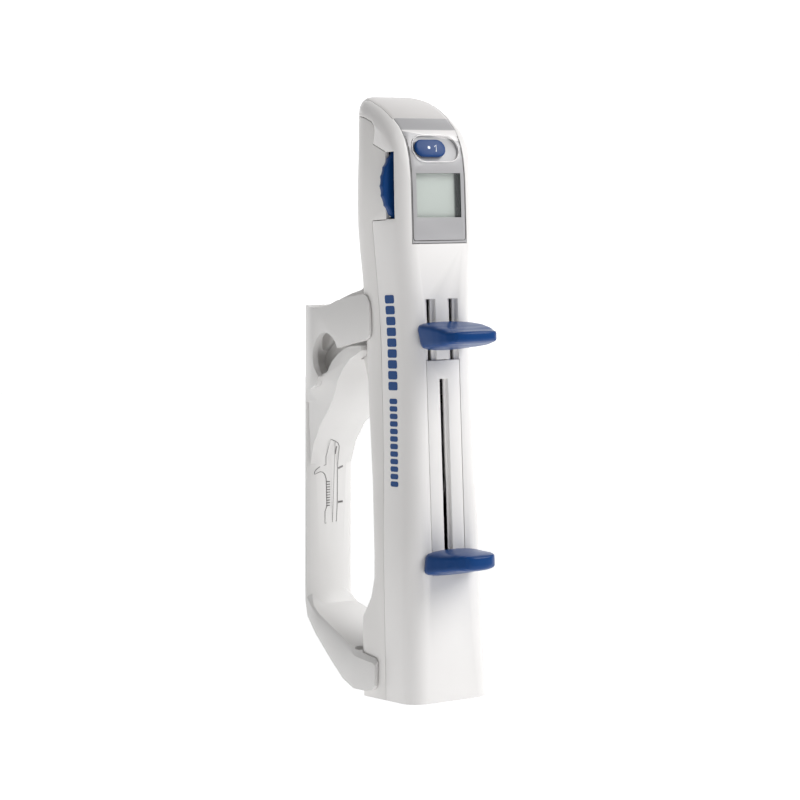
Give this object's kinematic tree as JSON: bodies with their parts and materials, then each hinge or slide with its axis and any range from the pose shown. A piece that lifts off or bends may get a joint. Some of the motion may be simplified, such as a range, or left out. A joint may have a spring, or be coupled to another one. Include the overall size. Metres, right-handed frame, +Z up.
{
  "type": "repeating pipette with wall holder",
  "caption": "Hand-held repeating pipette with front levers, side dial and small display, hung by its finger hook in a C-shaped wall holder.",
  "frame": {"origin": "centre of the back face of the holder's adhesive pad, on the wall", "axes": "+Z up, +Y into the wall, so the pipette's front faces -Y, +X to the right of someone who faces the wall"},
  "size_m": [0.0423, 0.1156, 0.2393],
  "materials": {
    "white_plastic": "satin",
    "grey_plastic": "satin",
    "cap_plastic": "satin",
    "silver_plastic": "satin, slightly metallic",
    "clear_window": "clear",
    "lcd": "gloss",
    "soft_grip": "matte",
    "board": "matte",
    "steel": "satin",
    "dark_plastic": "matte",
    "blue_plastic": "semi-gloss",
    "holder_plastic": "satin",
    "foam": "matte"
  },
  "bodies": {
    "holder": {"holder_frame": "holder_plastic", "adhesive_pad": "foam"},
    "casing": {"front_shell": "white_plastic", "rear_shell": "grey_plastic", "battery_cover": "grey_plastic", "top_cap": "cap_plastic", "slot_panel": "white_plastic", "display_bezel": "silver_plastic", "display_window": "clear_window", "lcd_module": "lcd", "grip_inlay": "soft_grip", "circuit_board": "board", "dial_axle": "steel", "battery_cell": "steel", "battery_holder": "dark_plastic", "guide_rod_left": "steel", "guide_rod_right": "steel", "return_spring_left": "steel", "return_spring_right": "steel", "chassis": "dark_plastic", "tip_socket": "grey_plastic", "clamp_pin_left": "steel", "clamp_pin_right": "steel", "shell_screw_upper": "steel", "shell_screw_lower": "steel"},
    "counter_switch": {"counter_switch": "blue_plastic"},
    "volume_dial": {"volume_dial": "blue_plastic"},
    "dispenser": {"dispense_lever": "blue_plastic", "lever_carriage": "white_plastic", "pawl_pin": "steel"},
    "drive_pawl": {"drive_pawl": "steel"},
    "filler": {"fill_lever": "blue_plastic", "fill_rack": "white_plastic", "piston_gripper": "steel"},
    "tip_clamp_left": {"tip_clamp_left": "white_plastic"},
    "tip_clamp_right": {"tip_clamp_right": "white_plastic"}
  },
  "joints": [
    {"name": "lift_off", "type": "slide", "parent": "holder", "child": "casing", "axis": [0, -0.5, 0.866], "range_m": [0, 0.09]},
    {"name": "counter_slide", "type": "slide", "parent": "casing", "child": "counter_switch", "axis": [1, 0, 0], "range_m": [0, 0.0054]},
    {"name": "dial_turn", "type": "hinge", "parent": "casing", "child": "volume_dial", "pos_m": [-0.0031, -0.07551, 0.10289], "axis": [0, 0.9979, -0.0645], "range_deg": [-150, 150]},
    {"name": "dispense_press", "type": "slide", "parent": "casing", "child": "dispenser", "axis": [0, 0.0645, 0.9979], "range_m": [-0.0041, 0.0093], "stiffness_N_per_m": 800, "deforming": ["return_spring_left", "return_spring_right"]},
    {"name": "pawl_tilt", "type": "hinge", "parent": "dispenser", "child": "drive_pawl", "pos_m": [0, -0.07539, 0.04586], "axis": [1, 0, 0], "range_deg": [-15, 0], "stiffness_Nm_per_rad": 0.05},
    {"name": "fill_draw", "type": "slide", "parent": "casing", "child": "filler", "axis": [0, 0.0645, 0.9979], "range_m": [0, 0.0668]},
    {"name": "clamp_left_open", "type": "hinge", "parent": "casing", "child": "tip_clamp_left", "pos_m": [-0.0136, -0.07419, -0.07206], "axis": [0, 0.9979, -0.0645], "range_deg": [0, 7], "stiffness_Nm_per_rad": 0.2},
    {"name": "clamp_right_open", "type": "hinge", "parent": "casing", "child": "tip_clamp_right", "pos_m": [0.0136, -0.07419, -0.07206], "axis": [0, 0.9979, -0.0645], "range_deg": [-7, 0], "stiffness_Nm_per_rad": 0.2}
  ],
  "couplings": [
    {"joint": "clamp_right_open", "follows": "clamp_left_open", "ratio": -1}
  ]
}
